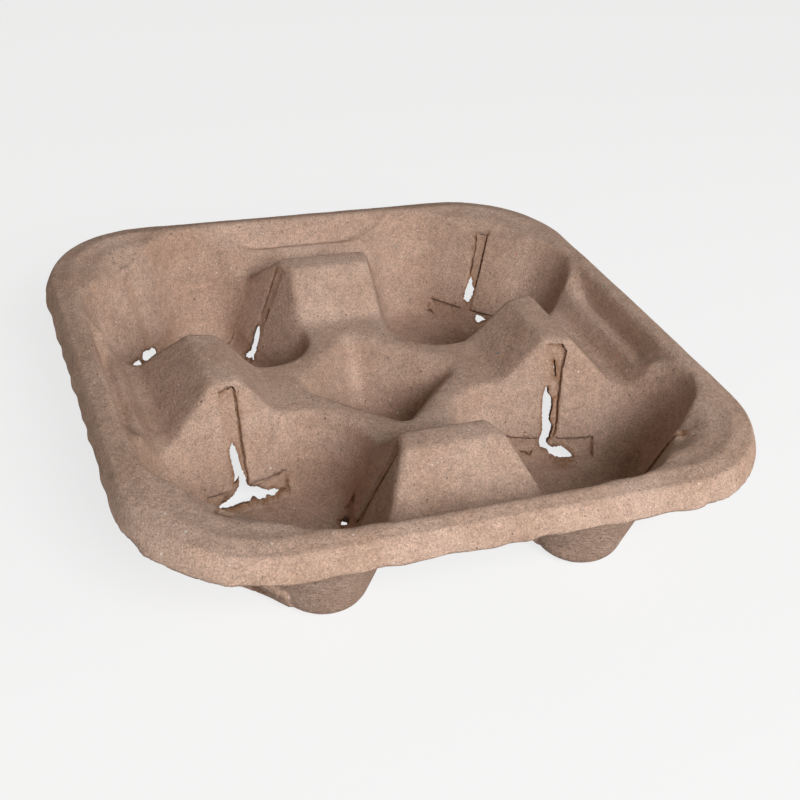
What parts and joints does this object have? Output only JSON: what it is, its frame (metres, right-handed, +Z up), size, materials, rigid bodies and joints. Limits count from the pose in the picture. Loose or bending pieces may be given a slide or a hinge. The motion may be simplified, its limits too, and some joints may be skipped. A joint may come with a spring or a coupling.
{
  "type": "moulded pulp cup carrier",
  "caption": "Moulded pulp carrier tray with slit cup pockets in its corners, a centre well and a rolled rim.",
  "frame": {"origin": "middle of the carrier's footprint, on the table that its feet rest on", "axes": "+Z up, +X and +Y square to the sides; the pockets lie on the diagonals"},
  "size_m": [0.215, 0.215, 0.0455],
  "materials": {
    "pulp": "matte moulded fibre, unprinted"
  },
  "bodies": {
    "root": {"tray": "pulp"}
  },
  "joints": []
}
